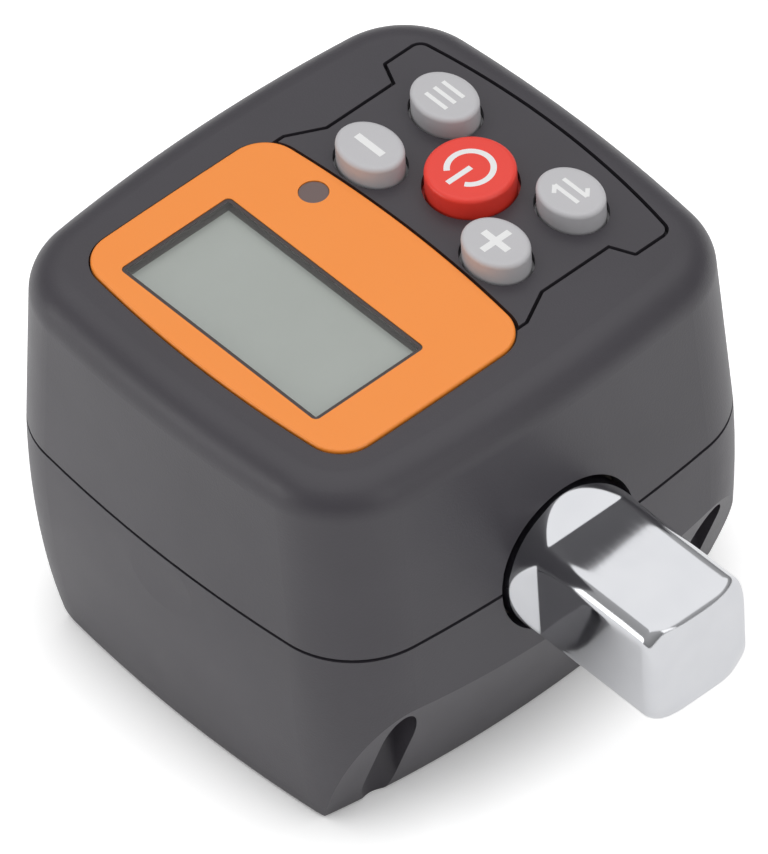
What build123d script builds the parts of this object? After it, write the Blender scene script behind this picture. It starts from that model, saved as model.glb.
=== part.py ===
"""Digital torque adapter for a half inch square drive, in millimetres.

A steel torsion shaft runs through a two shell housing. The socket wrench turns the
female square at the rear, the male square at the front turns the socket, and strain
gauges on the thin middle of the shaft measure the twist. The display, five keys and
their board hang in the upper housing, and the cells lie under a sliding door below.

Origin: centre of the female square's mouth. +X along the drive axis to the male
square, +Y towards the keys, +Z up through the display.
"""
from math import asin, atan, cos, degrees, hypot, sin, sqrt
import os

from build123d import *

# Housing form
body_length = 55.4          # along X at the part line
body_width = 57.8           # along Y at the part line
body_crown = 170.0          # radius that the four sides bulge to
body_corner = 9.7           # upright corner radius
top_height = 21.7           # part line to the top face
top_draft_x = 1.6           # the sides lean in by this much up to the top face
top_draft_y = 0.55
top_round = 3.8             # fillet round the top face
base_depth = 25.65          # part line to the base
base_draft_x = 0.65         # before the two sloping ends are cut
base_draft_y = 2.3
base_belly_x = 0.2          # sides bulge by this much at half the depth
base_belly_y = 0.8
slope_start = 10.2          # depth at which the sloping ends leave the body
slope_reach = 6.1           # how far each sloping end comes in at the base
slope_crown = 129.0
slope_shift = -0.3          # the sloping ends sit a little to the rear
base_round = 0.9
wall = 2.0
socket_stand = 0.5          # the shaft's rear end stands proud of the housing

# Joint between the shells
line_groove_height = 0.4
line_groove_depth = 0.6
lip_height = 1.5
lip_inset = 1.1
lip_thickness = 0.9
lip_clearance = 0.1

# Drive shaft
drive_square = 12.7         # half inch square
socket_square = 12.9
socket_depth = 15.5
drive_reach = 18.85         # tip of the male square beyond the housing
collar_radius = 11.0
flange_setback = 12.0       # flange's rear face behind the housing's middle
flange_radius = 14.0
flange_flat = 10.0          # half height across the flange's two flats
flange_length = 3.6
gauge_radius = 6.0          # thin middle that twists
gauge_flat = 5.4            # half height across the two flats that carry gauges
gauge_length = 22.0
gauge_flat_inset = 2.0      # round metal left at each end of the two flats
neck_length = 2.0           # cone from the flange down to the thin middle
journal_radius = 8.1
ramp_length = 3.15          # flat ramp from the journal down to the step
ramp_drop = 1.33
runout_length = 3.6         # hollow run-out from the step to the square's flat
tip_round = 1.45
square_length = 16.25       # from the step to the tip
socket_chamfer = 0.6
dimple_x = 8.5              # where a wrench's ball catches in the female square
dimple_radius = 2.4
dimple_depth = 0.8

# Bearings of the shaft in the housing
seat_clearance = 0.1
seat_wall = 1.8
seat_height = 11.2          # the upper shell's saddles, up from the drive axis
shaft_gap = 0.56            # open ring round the shaft at each end wall
bush_wall = 2.0
bush_width = 3.0
bush_inset = 3.1            # bush front face behind the body's front
bush_clearance = 0.05

# Detent in the male square
detent_setback = 7.0        # from the tip
ball_radius = 2.0
ball_stand = 0.75
ball_clearance = 0.06
rim_thickness = 0.2
rim_radius = 1.75
detent_depth = 7.4
detent_wire = 0.4
detent_turns = 4

# Orange display bezel and window
seat_depth = 1.25           # recess of bezel and key panel in the top face
bezel_margin_x = 6.73       # top face left on each side of the bezel
bezel_margin_y = 5.88
bezel_crown = 141.7
bezel_end_crown = 800.0
bezel_corner = 4.04
bezel_stand = 0.31          # stands proud of the top face
bezel_gap = 0.18
bezel_edge = 0.27
window_x = -0.72
window_margin_x = 5.07      # mean width of bezel beside the window
window_near = 3.05          # width of bezel along the window's lower side
window_far = 9.69
window_corner = 0.63
lens_thickness = 1.0
lens_drop = 0.11
lens_clearance = 0.05
lens_ledge = 0.55

# Liquid crystal display
lcd_overlap = 2.06          # glass hidden behind the bezel all round
lcd_glass = 1.1
lcd_contact_ledge = 2.2
lcd_clearance = 0.1
frame_wall = 1.2
frame_ledge = 1.6
strip_width = 1.3

# Indicator lamp
lamp_inset_x = 9.64         # from the bezel's end and far side
lamp_inset_y = 3.32
lamp_radius = 1.5
lamp_collar = 0.6
lamp_clearance = 0.05
led_size = 2.8
led_base_height = 2.4
led_clearance = 0.2

# Keypad
panel_margin_x = 2.42       # panel left beside the outer keys, in the waist
panel_margin_y = 4.04       # top face left beyond the panel's arched edge
panel_ear = 2.6             # the ears and the flares stand out of the waist
panel_flare = 2.06
panel_crown = 96.9
panel_step = 4.04           # ears start this far beyond the middle key
panel_step_rise = 1.17
panel_flare_start = 4.93    # flares start this far before it
panel_flare_end = 8.79
panel_foot = 8.57     # bezel's far side, counted from the middle key
panel_corner = 1.08
panel_gap = 0.4
key_x = 9.15
key_setback = 11.21         # middle key behind the panel's arched edge
key_pitch_y = 4.93
key_half_length = 3.86
key_half_width = 3.05
power_radius = 4.57
key_stand = 2.33
key_edge = 0.5
key_gap = 0.31
key_flange = 0.45
key_flange_thickness = 0.8
key_play = 0.05
key_stem_radius = 1.8
key_body_depth = 2.9
key_travel = 0.8
dome_rest = 1.2             # height left under a key that is fully down
mat_thickness = 0.9
mat_margin = 1.2
dome_base_radius = 2.9
dome_top_radius = 1.8

# Boards and what they carry
board_margin_x = 4.9        # board's edge inside the part line's outline
board_margin_y = 3.8
board_corner = 8.0
board_thickness = 1.6
board_drop = 7.4            # top of the board under the top face
post_inset_x = 2.4
post_inset_y = 3.4
post_radius = 1.9
board_screw_radius = 0.95
board_screw_length = 5.2
board_screw_head = 1.7
board_screw_head_height = 1.2
screw_clearance = 0.1
buzzer_radius = 5.5
buzzer_height = 3.5
chip_thickness = 1.4
control_chip_size = 8.0
amplifier_length = 5.0
amplifier_width = 4.0
buzzer_port = 1.0
gauge_foil_length = 7.0
gauge_foil_width = 5.0
gauge_foil_thickness = 0.15
lead_radius = 0.45
control_chip_place = (9.5, 7.5)
amplifier_place = (-2.0, -8.0)
buzzer_x = 9.0
buzzer_inset_y = 7.2

# Housing screws and the pockets they are driven through
screw_inset_x = 4.75
screw_inset_y = 8.8
pocket_shift = -0.25        # pockets break out through the sloping ends only
pocket_length = 6.8
pocket_width = 4.0
pocket_wall = 1.3
pocket_top = 9.2            # depth of the pocket's ceiling under the part line
screw_seat = 7.4
screw_head_radius = 1.85
screw_head_height = 1.6
screw_radius = 1.1
screw_length = 14.0
screw_boss_radius = 2.7
screw_boss_height = 10.5
recess_length = 2.1
recess_width = 0.5
recess_depth = 0.7

# Cells, their contacts and the door
cell_radius = 5.25          # AAA cell
cell_length = 44.5
cell_nub_radius = 1.9
cell_nub_height = 0.9
cell_spacing = 11.2
cell_rise = 8.1             # cell axis above the base
bay_length = 49.4
bay_clearance = 0.25
bay_roof = 1.3
contact_thickness = 0.3
contact_width = 8.4
contact_height = 9.4
contact_tab_width = 2.0
contact_tab_rise = 1.5      # stands out of the bay's roof for its lead
spring_wire = 0.6
spring_turns = 2.5
spring_wide = 3.3
spring_narrow = 2.2
spring_clearance = 0.05
door_width = 22.6
door_back_y = -22.0
door_skin = 1.2
door_flange = 1.0
door_flange_thickness = 0.8
door_clearance = 0.15
grip_count = 6
grip_pitch = 1.6
grip_width = 0.7
grip_depth = 0.4
grip_length = 12.0

# Sizes and places that follow from those above
top_length = body_length - 2 * top_draft_x
top_width = body_width - 2 * top_draft_y
base_length = body_length - 2 * base_draft_x
base_width = body_width - 2 * base_draft_y
slope_base_length = body_length - 2 * slope_reach
slope_rise = 2 * slope_reach / (base_depth - slope_start)
centre_x = socket_stand + body_length / 2
front_x = socket_stand + body_length
shaft_length = front_x + drive_reach
step_x = shaft_length - square_length
ramp_x = step_x - ramp_length
flat_x = step_x + runout_length
flange_x = centre_x - flange_setback
gauge_x = flange_x + flange_length + neck_length
journal_x = gauge_x + gauge_length
detent_x = shaft_length - detent_setback
flat_half = drive_square / 2
step_half = journal_radius - ramp_drop
seat_z = top_height - seat_depth
ceiling_z = seat_z - 1.2
panel_far_y = top_width / 2 - panel_margin_y
key_y = panel_far_y - key_setback
bezel_far_y = key_y - panel_foot
bezel_near_y = bezel_margin_y - top_width / 2
bezel_length = top_length - 2 * bezel_margin_x
bezel_width = bezel_far_y - bezel_near_y
bezel_y = (bezel_far_y + bezel_near_y) / 2
bezel_top = top_height + bezel_stand
window_length = bezel_length - 2 * window_margin_x
window_width = bezel_width - window_near - window_far
window_y = bezel_near_y + window_near + window_width / 2
lamp_x = lamp_inset_x - bezel_length / 2
lamp_y = bezel_far_y - lamp_inset_y
panel_half = key_x + key_half_length + panel_margin_x
panel_wide_half = panel_half + panel_ear
lcd_length = window_length + 2 * lcd_overlap
lcd_width = window_width + 2 * lcd_overlap
lens_top = bezel_top - lens_drop
lcd_top = ceiling_z - lcd_clearance
board_top = top_height - board_drop
board_bottom = board_top - board_thickness
board_length = body_length - 2 * board_margin_x
board_width = body_width - 2 * board_margin_y
post_x = board_length / 2 - post_inset_x
post_y = board_width / 2 - post_inset_y
buzzer_place = (buzzer_x, buzzer_inset_y - board_width / 2)
screw_x = body_length / 2 - screw_inset_x
screw_y = body_width / 2 - screw_inset_y
pocket_x = screw_x + pocket_shift
cell_depth = base_depth - cell_rise
bush_x = front_x - bush_inset - bush_width
bush_radius = journal_radius + bush_wall
bay_roof_z = -(cell_depth - cell_radius - 0.15)
bay_floor_z = -base_depth + door_skin + door_flange_thickness + door_clearance
bay_width = cell_spacing + 2 * cell_radius + 2 * bay_clearance
tab_top_z = bay_roof_z + bay_roof + contact_tab_rise
dome_height = dome_rest + key_travel
dome_top = board_top + mat_thickness + dome_height
lcd_seat_z = lcd_top - 2 * lcd_glass
strip_y = window_y + (lcd_width - lcd_contact_ledge) / 2
flat_span = 2 * sqrt(flange_radius ** 2 - flange_flat ** 2)
middle = Plane((centre_x, 0, 0))
keys = {
    "power_button": (0.0, key_y, power_radius, power_radius),
    "mode_button": (-key_x, key_y + key_pitch_y, key_half_length, key_half_width),
    "unit_button": (key_x, key_y + key_pitch_y, key_half_length, key_half_width),
    "minus_button": (-key_x, key_y - key_pitch_y, key_half_length, key_half_width),
    "plus_button": (key_x, key_y - key_pitch_y, key_half_length, key_half_width),
}

os.makedirs("parts", exist_ok=True)


def crowned_rectangle(length, width, end_crown, side_crown, corner):
    """A rounded rectangle whose ends and sides bulge outwards as arcs."""
    end_reach = end_crown - length / 2
    side_reach = side_crown - width / 2
    near = end_crown - corner
    far = side_crown - corner
    # The corner's centre is tangent to both arcs, where two circles meet
    apart = hypot(end_reach, side_reach)
    along = (near ** 2 - far ** 2 + apart ** 2) / (2 * apart)
    across = sqrt(near ** 2 - along ** 2)
    ux, uy = end_reach / apart, -side_reach / apart
    cx = -end_reach + along * ux - across * uy
    cy = along * uy + across * ux
    end_x = -end_reach + (cx + end_reach) * end_crown / near
    end_y = cy * end_crown / near
    side_x = cx * side_crown / far
    side_y = -side_reach + (cy + side_reach) * side_crown / far
    bisector = Vector(end_x + side_x - 2 * cx, end_y + side_y - 2 * cy).normalized()
    mid_x = cx + corner * bisector.X
    mid_y = cy + corner * bisector.Y
    with BuildSketch() as section:
        with BuildLine():
            ThreePointArc((end_x, -end_y), (length / 2, 0), (end_x, end_y))
            ThreePointArc((end_x, end_y), (mid_x, mid_y), (side_x, side_y))
            ThreePointArc((side_x, side_y), (0, width / 2), (-side_x, side_y))
            ThreePointArc((-side_x, side_y), (-mid_x, mid_y), (-end_x, end_y))
            ThreePointArc((-end_x, end_y), (-length / 2, 0), (-end_x, -end_y))
            ThreePointArc((-end_x, -end_y), (-mid_x, -mid_y), (-side_x, -side_y))
            ThreePointArc((-side_x, -side_y), (0, -width / 2), (side_x, -side_y))
            ThreePointArc((side_x, -side_y), (mid_x, -mid_y), (end_x, -end_y))
        make_face()
    return section.sketch


def body_section(length, width, inset=0.0):
    """The housing's plan outline, drawn in from the outer face by an inset."""
    crown = body_crown - inset
    return crowned_rectangle(length - 2 * inset, width - 2 * inset, crown, crown, body_corner - inset)


def slope_section(length):
    """Wide block whose two ends carry the crown of the sloping faces."""
    half = length / 2
    drop = slope_crown - sqrt(slope_crown ** 2 - body_width ** 2 / 4)
    with BuildSketch() as section:
        with BuildLine():
            ThreePointArc((half - drop, -body_width / 2), (half, 0), (half - drop, body_width / 2))
            Line((half - drop, body_width / 2), (drop - half, body_width / 2))
            ThreePointArc((drop - half, body_width / 2), (-half, 0), (drop - half, -body_width / 2))
            Line((drop - half, -body_width / 2), (half - drop, -body_width / 2))
        make_face()
    return section.sketch


def bezel_section(grow=0.0):
    """The bezel's outline, grown for the recess that holds it."""
    return crowned_rectangle(
        bezel_length + 2 * grow, bezel_width + 2 * grow,
        bezel_end_crown + grow, bezel_crown + grow, bezel_corner + grow,
    )


def panel_section(grow=0.0):
    """The key panel's outline: waisted sides, two ears and an arched far edge."""
    ear_y = key_y + panel_step + panel_step_rise
    flare_half = panel_half + panel_flare
    edge_drop = panel_crown - sqrt(panel_crown ** 2 - panel_wide_half ** 2)
    top_y = panel_far_y - edge_drop
    with BuildSketch() as section:
        with BuildLine():
            ThreePointArc((-panel_wide_half, top_y), (0, panel_far_y), (panel_wide_half, top_y))
            Polyline(
                (panel_wide_half, top_y),
                (panel_wide_half, ear_y),
                (panel_half, key_y + panel_step),
                (panel_half, key_y - panel_flare_start),
                (flare_half, key_y - panel_flare_end),
                (flare_half, bezel_far_y - bezel_corner),
                (-flare_half, bezel_far_y - bezel_corner),
                (-flare_half, key_y - panel_flare_end),
                (-panel_half, key_y - panel_flare_start),
                (-panel_half, key_y + panel_step),
                (-panel_wide_half, ear_y),
                (-panel_wide_half, top_y),
            )
        make_face()
        fillet(section.vertices().group_by(Axis.Y)[-1], panel_corner)
        if grow:
            offset(amount=grow)
        with Locations((0, bezel_y)):
            add(bezel_section(panel_gap - grow), mode=Mode.SUBTRACT)
    return section.sketch


def flat_cutter():
    """Side view of what is milled off above and below the male square."""
    lift = step_half - flat_half
    radius = (runout_length ** 2 + lift ** 2) / (2 * lift)
    half_turn = asin(runout_length / radius) / 2
    clear = 2 * journal_radius
    with BuildSketch() as section:
        with BuildLine():
            Line((ramp_x, journal_radius), (step_x, step_half))
            ThreePointArc(
                (step_x, step_half),
                (flat_x - radius * sin(half_turn), flat_half + radius * (1 - cos(half_turn))),
                (flat_x, flat_half),
            )
            Polyline(
                (flat_x, flat_half),
                (shaft_length + 1, flat_half),
                (shaft_length + 1, clear),
                (ramp_x, clear),
                (ramp_x, journal_radius),
            )
        make_face()
        mirror(about=Plane.XZ)
    return section.sketch


# Drive shaft: turned from bar, then milled
with BuildPart() as drive_shaft:
    with BuildSketch(Plane.XY):
        with BuildLine():
            Polyline(
                (0, 0),
                (0, collar_radius - socket_chamfer),
                (socket_chamfer, collar_radius),
                (flange_x, collar_radius),
                (flange_x, flange_radius),
                (flange_x + flange_length, flange_radius),
                (flange_x + flange_length, collar_radius),
                (gauge_x, gauge_radius),
                (journal_x, gauge_radius),
                (journal_x + (journal_radius - gauge_radius), journal_radius),
                (shaft_length - tip_round, journal_radius),
            )
            RadiusArc(
                (shaft_length - tip_round, journal_radius),
                (shaft_length, journal_radius - tip_round),
                tip_round,
            )
            Polyline((shaft_length, journal_radius - tip_round), (shaft_length, 0), (0, 0))
        make_face()
    revolve(axis=Axis.X)
    # Four flats of the male square, with their ramps and run-outs
    with BuildSketch(Plane.XY):
        add(flat_cutter())
    extrude(amount=2 * journal_radius, both=True, mode=Mode.SUBTRACT)
    with BuildSketch(Plane.XZ):
        add(flat_cutter())
    extrude(amount=2 * journal_radius, both=True, mode=Mode.SUBTRACT)
    # Female square with a lead-in
    with BuildSketch(Plane.YZ):
        Rectangle(socket_square, socket_square)
    extrude(amount=socket_depth, mode=Mode.SUBTRACT)
    with BuildSketch(Plane.YZ):
        Rectangle(socket_square + 2 * socket_chamfer, socket_square + 2 * socket_chamfer)
    extrude(amount=2 * socket_chamfer, taper=45, mode=Mode.SUBTRACT)
    for turn in range(4):
        with Locations(Location((dimple_x, 0, 0), (turn * 90, 0, 0))):
            with Locations((0, 0, socket_square / 2 + dimple_depth - dimple_radius)):
                Sphere(dimple_radius, mode=Mode.SUBTRACT)
    # Two flats on the flange that lock it in the housing, two that carry the gauges
    with BuildSketch(Plane.YZ.offset(flange_x)):
        with GridLocations(1, 4 * flange_flat, 1, 2):
            Rectangle(3 * flange_radius, 2 * flange_flat)
    extrude(amount=flange_length, mode=Mode.SUBTRACT)
    with BuildSketch(Plane.YZ.offset(gauge_x + gauge_flat_inset)):
        with GridLocations(1, 4 * gauge_flat, 1, 2):
            Rectangle(3 * gauge_radius, 2 * gauge_flat)
    extrude(amount=gauge_length - 2 * gauge_flat_inset, mode=Mode.SUBTRACT)
    # Blind hole for the detent, closed to a rim at the flat
    with BuildSketch(Plane((detent_x, 0, -flat_half + rim_thickness))):
        Circle(ball_radius + ball_clearance)
    extrude(amount=detent_depth, mode=Mode.SUBTRACT)
    with BuildSketch(Plane((detent_x, 0, -flat_half))):
        Circle(rim_radius)
    extrude(amount=rim_thickness, mode=Mode.SUBTRACT)
drive_shaft.part.label = "drive_shaft"
export_step(drive_shaft.part, "parts/drive_shaft.step")

# Outer forms of the two shells, solid right through
with BuildPart() as upper_form:
    with BuildSketch(middle):
        add(body_section(body_length, body_width))
    with BuildSketch(middle.offset(top_height)):
        add(body_section(top_length, top_width))
    loft()
    fillet(upper_form.faces().sort_by(Axis.Z)[-1].edges(), top_round)

with BuildPart() as lower_form:
    with BuildSketch(middle.offset(-base_depth)):
        add(body_section(base_length, base_width))
    with BuildSketch(middle.offset(-base_depth / 2)):
        add(body_section(
            (body_length + base_length) / 2 + 2 * base_belly_x,
            (body_width + base_width) / 2 + 2 * base_belly_y,
        ))
    with BuildSketch(middle):
        add(body_section(body_length, body_width))
    loft()
    with BuildSketch(middle.offset(-base_depth)):
        with Locations((slope_shift, 0)):
            add(slope_section(slope_base_length))
    with BuildSketch(middle):
        with Locations((slope_shift, 0)):
            add(slope_section(slope_base_length + slope_rise * base_depth))
    loft(mode=Mode.INTERSECT)
    fillet(lower_form.faces().sort_by(Axis.Z)[0].edges(), base_round)

# Ribs across the shells: one on each side of the flange, one behind the bush
rib_places = (
    flange_x - seat_clearance - seat_wall,
    flange_x + flange_length + seat_clearance,
    bush_x - seat_clearance - seat_wall,
)

# Hollow of the upper shell, less the posts, bosses and ribs that stand in it
with BuildPart() as upper_hollow:
    narrowing = ceiling_z / top_height
    with BuildSketch(middle):
        add(body_section(body_length, body_width, wall))
    with BuildSketch(middle.offset(ceiling_z)):
        add(body_section(
            body_length + (top_length - body_length) * narrowing,
            body_width + (top_width - body_width) * narrowing,
            wall,
        ))
    loft()
    with BuildSketch(middle.offset(board_top)):
        with GridLocations(2 * post_x, 2 * post_y, 2, 2):
            Circle(post_radius)
    extrude(amount=ceiling_z - board_top, mode=Mode.SUBTRACT)
    with BuildSketch(middle):
        with GridLocations(2 * screw_x, 2 * screw_y, 2, 2):
            Circle(screw_boss_radius)
    extrude(amount=screw_boss_height, mode=Mode.SUBTRACT)
    for rib_x in rib_places:
        with BuildSketch(Plane.YZ.offset(rib_x)):
            with Locations((0, seat_height / 2)):
                Rectangle(body_width, seat_height)
        extrude(amount=seat_wall, mode=Mode.SUBTRACT)
    with BuildSketch(Plane.YZ.offset(flange_x - seat_clearance)):
        with Locations((0, seat_height / 2)):
            Rectangle(flat_span, seat_height)
    extrude(amount=flange_length + 2 * seat_clearance, mode=Mode.SUBTRACT)
    with BuildSketch(Plane.YZ.offset(bush_x - seat_clearance)):
        with Locations((0, seat_height / 2)):
            Rectangle(2 * (bush_radius + seat_wall), seat_height)
    extrude(amount=front_x - bush_x, mode=Mode.SUBTRACT)

# Hollow of the lower shell, less the cell bay's roof and walls and the pocket walls
with BuildPart() as lower_hollow:
    floor_share = (base_depth - wall) / base_depth
    with BuildSketch(middle.offset(wall - base_depth)):
        add(body_section(
            body_length + (base_length - body_length) * floor_share,
            body_width + (base_width - body_width) * floor_share,
            wall,
        ))
    with BuildSketch(middle):
        add(body_section(body_length, body_width, wall))
    loft()
    with BuildSketch(middle.offset(-base_depth)):
        with Locations((slope_shift, 0)):
            add(slope_section(slope_base_length - 2 * wall))
    with BuildSketch(middle):
        with Locations((slope_shift, 0)):
            add(slope_section(slope_base_length - 2 * wall + slope_rise * base_depth))
    loft(mode=Mode.INTERSECT)
    with BuildSketch(middle.offset(-base_depth)):
        with GridLocations(2 * pocket_x, 2 * screw_y, 2, 2):
            SlotOverall(pocket_length + 2 * pocket_wall, pocket_width + 2 * pocket_wall)
    extrude(amount=base_depth - screw_seat + pocket_wall, mode=Mode.SUBTRACT)
    with BuildSketch(middle):
        with GridLocations(2 * screw_x, 2 * screw_y, 2, 2):
            Circle(screw_boss_radius)
    extrude(amount=-screw_seat, mode=Mode.SUBTRACT)
    with BuildSketch(middle.offset(-base_depth)):
        Rectangle(bay_width + 2 * bay_roof, body_width)
    extrude(amount=base_depth + bay_roof_z + bay_roof, mode=Mode.SUBTRACT)
    for rib_x in rib_places:
        with BuildSketch(Plane.YZ.offset(rib_x)):
            with Locations((0, bay_roof_z / 2)):
                Rectangle(body_width, -bay_roof_z)
        extrude(amount=seat_wall, mode=Mode.SUBTRACT)
    with BuildSketch(Plane.YZ.offset(flange_x - seat_clearance)):
        with Locations((0, bay_roof_z / 2)):
            Rectangle(flat_span, -bay_roof_z)
    extrude(amount=flange_length + 2 * seat_clearance, mode=Mode.SUBTRACT)
    with BuildSketch(Plane.YZ.offset(bush_x - seat_clearance)):
        with Locations((0, bay_roof_z / 2)):
            Rectangle(2 * (bush_radius + seat_wall), -bay_roof_z)
    extrude(amount=front_x - bush_x, mode=Mode.SUBTRACT)

# Space that the shaft, its flange and the bush take out of both shells
with BuildPart() as shaft_space:
    with BuildSketch(Plane.YZ.offset(-1)):
        Circle(collar_radius + shaft_gap)
    extrude(amount=gauge_x + 1)
    with BuildSketch(Plane.YZ.offset(gauge_x)):
        Circle(journal_radius + shaft_gap)
    extrude(amount=front_x + 1 - gauge_x)
    with BuildSketch(Plane.YZ.offset(flange_x - seat_clearance)):
        Circle(flange_radius + seat_clearance)
        Rectangle(3 * flange_radius, 2 * (flange_flat + seat_clearance), mode=Mode.INTERSECT)
    extrude(amount=flange_length + 2 * seat_clearance)
    with BuildSketch(Plane.YZ.offset(bush_x - seat_clearance)):
        Circle(bush_radius + bush_clearance)
    extrude(amount=bush_width + 2 * seat_clearance)

# Upper housing: moulded shell with seats for the bezel and the key panel
with BuildPart() as upper_housing:
    add(upper_form.part)
    add(upper_hollow.part, mode=Mode.SUBTRACT)
    with BuildSketch(middle.offset(seat_z)):
        with Locations((0, bezel_y)):
            add(bezel_section(bezel_gap))
    extrude(amount=2 * seat_depth, mode=Mode.SUBTRACT)
    with BuildSketch(middle.offset(seat_z)):
        add(panel_section(panel_gap))
    extrude(amount=2 * seat_depth, mode=Mode.SUBTRACT)
    # Openings under the display, the keys and the indicator lamp
    with BuildSketch(middle.offset(seat_z)):
        with Locations((window_x, window_y)):
            Rectangle(window_length, window_width)
    extrude(amount=-2 * seat_depth, mode=Mode.SUBTRACT)
    bay_reach = key_flange + key_gap
    with BuildSketch(middle.offset(seat_z)):
        with Locations((0, key_y)):
            RectangleRounded(
                2 * (key_x + key_half_length + bay_reach),
                2 * (key_pitch_y + key_half_width + bay_reach),
                key_half_width,
            )
    extrude(amount=-2 * seat_depth, mode=Mode.SUBTRACT)
    with BuildSketch(middle.offset(seat_z)):
        with Locations((lamp_x, lamp_y)):
            Circle(lamp_radius + lamp_collar + lamp_clearance)
    extrude(amount=-2 * seat_depth, mode=Mode.SUBTRACT)
    # Pilot holes for the board's screws and the housing's screws
    with BuildSketch(middle.offset(board_top)):
        with GridLocations(2 * post_x, 2 * post_y, 2, 2):
            Circle(board_screw_radius + screw_clearance)
    extrude(amount=board_screw_length - board_thickness + screw_clearance, mode=Mode.SUBTRACT)
    with BuildSketch(middle):
        with GridLocations(2 * screw_x, 2 * screw_y, 2, 2):
            Circle(screw_radius + screw_clearance)
    extrude(amount=screw_length - screw_seat + 1, mode=Mode.SUBTRACT)
    # Groove that shows as a dark line, and the rebate for the lower shell's lip
    with BuildSketch(middle):
        add(body_section(body_length + 1, body_width + 1))
        add(body_section(body_length, body_width, line_groove_depth), mode=Mode.SUBTRACT)
    extrude(amount=line_groove_height, mode=Mode.SUBTRACT)
    with BuildSketch(middle):
        add(body_section(body_length, body_width, lip_inset - lip_clearance))
        add(body_section(body_length, body_width, lip_inset + lip_thickness + lip_clearance),
            mode=Mode.SUBTRACT)
    extrude(amount=lip_height + lip_clearance, mode=Mode.SUBTRACT)
    add(shaft_space.part, mode=Mode.SUBTRACT)
upper_housing.part.label = "upper_housing"
export_step(upper_housing.part, "parts/upper_housing.step")

# Sliding door: the part of the base that its two steps cut out
with BuildPart() as door_block:
    door_length = body_width / 2 - door_back_y
    door_y = door_back_y + door_length / 2
    with BuildSketch(middle.offset(-base_depth)):
        with Locations((0, door_y)):
            Rectangle(door_width, door_length)
    extrude(amount=door_skin)
    with BuildSketch(middle.offset(door_skin - base_depth)):
        with Locations((0, door_y - door_flange / 2)):
            Rectangle(door_width + 2 * door_flange, door_length + door_flange)
    extrude(amount=door_flange_thickness)

with BuildPart() as door_space:
    with BuildSketch(middle.offset(-base_depth)):
        with Locations((0, door_y)):
            Rectangle(door_width + 2 * door_clearance, door_length + 2 * door_clearance)
    extrude(amount=door_skin)
    with BuildSketch(middle.offset(door_skin - door_clearance - base_depth)):
        with Locations((0, door_y - door_flange / 2)):
            Rectangle(
                door_width + 2 * (door_flange + door_clearance),
                door_length + door_flange + 2 * door_clearance,
            )
    extrude(amount=door_flange_thickness + 2 * door_clearance)

with BuildPart() as battery_door:
    add(lower_form.part)
    add(door_block.part, mode=Mode.INTERSECT)
    with BuildSketch(middle.offset(-base_depth)):
        with Locations((0, base_width / 2 - grip_count * grip_pitch)):
            with GridLocations(1, grip_pitch, 1, grip_count):
                Rectangle(grip_length, grip_width)
    extrude(amount=grip_depth, mode=Mode.SUBTRACT)
battery_door.part.label = "battery_door"
export_step(battery_door.part, "parts/battery_door.step")

# Lower housing: moulded shell with the cell bay, four screw pockets and the lip
with BuildPart() as lower_housing:
    add(lower_form.part)
    add(lower_hollow.part, mode=Mode.SUBTRACT)
    with BuildSketch(middle):
        add(body_section(body_length, body_width, lip_inset))
        add(body_section(body_length, body_width, lip_inset + lip_thickness), mode=Mode.SUBTRACT)
    extrude(amount=lip_height)
    # Cell bay, open to the base
    with BuildSketch(middle.offset(bay_roof_z)):
        Rectangle(bay_width, bay_length)
    extrude(amount=-(bay_roof_z - bay_floor_z), mode=Mode.SUBTRACT)
    with BuildSketch(middle.offset(bay_floor_z)):
        with Locations((0, (door_back_y + bay_length / 2) / 2)):
            Rectangle(bay_width, bay_length / 2 - door_back_y)
    extrude(amount=-(bay_floor_z + base_depth), mode=Mode.SUBTRACT)
    add(door_space.part, mode=Mode.SUBTRACT)
    # Slots in the bay's roof for the contact tabs
    with BuildSketch(middle.offset(bay_roof_z + 2 * bay_roof)):
        with Locations((0, (bay_length - contact_thickness) / 2 - seat_clearance)):
            with GridLocations(cell_spacing, 1, 2, 1):
                Rectangle(contact_tab_width + 2 * seat_clearance, contact_thickness + 2 * seat_clearance)
    extrude(amount=-3 * bay_roof, mode=Mode.SUBTRACT)
    # Screw pockets, heads' seats and clearance holes
    with BuildSketch(middle.offset(-base_depth)):
        with GridLocations(2 * pocket_x, 2 * screw_y, 2, 2):
            SlotOverall(pocket_length, pocket_width)
    extrude(amount=base_depth - pocket_top, mode=Mode.SUBTRACT)
    with BuildSketch(middle.offset(-pocket_top)):
        with GridLocations(2 * screw_x, 2 * screw_y, 2, 2):
            Circle(screw_head_radius + screw_clearance)
    extrude(amount=pocket_top - screw_seat, mode=Mode.SUBTRACT)
    with BuildSketch(middle.offset(-screw_seat)):
        with GridLocations(2 * screw_x, 2 * screw_y, 2, 2):
            Circle(screw_radius + screw_clearance)
    extrude(amount=screw_seat, mode=Mode.SUBTRACT)
    add(shaft_space.part, mode=Mode.SUBTRACT)
lower_housing.part.label = "lower_housing"
export_step(lower_housing.part, "parts/lower_housing.step")

# Bush that steadies the front journal
with BuildPart() as front_bush:
    with BuildSketch(Plane.YZ.offset(bush_x)):
        Circle(bush_radius)
        Circle(journal_radius + bush_clearance, mode=Mode.SUBTRACT)
    extrude(amount=bush_width)
front_bush.part.label = "front_bush"
export_step(front_bush.part, "parts/front_bush.step")

# Ball and spring of the detent
ball_z = -flat_half + ball_radius - ball_stand
with BuildPart() as detent_ball:
    with Locations((detent_x, 0, ball_z)):
        Sphere(ball_radius)
detent_ball.part.label = "detent_ball"
export_step(detent_ball.part, "parts/detent_ball.step")

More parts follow.
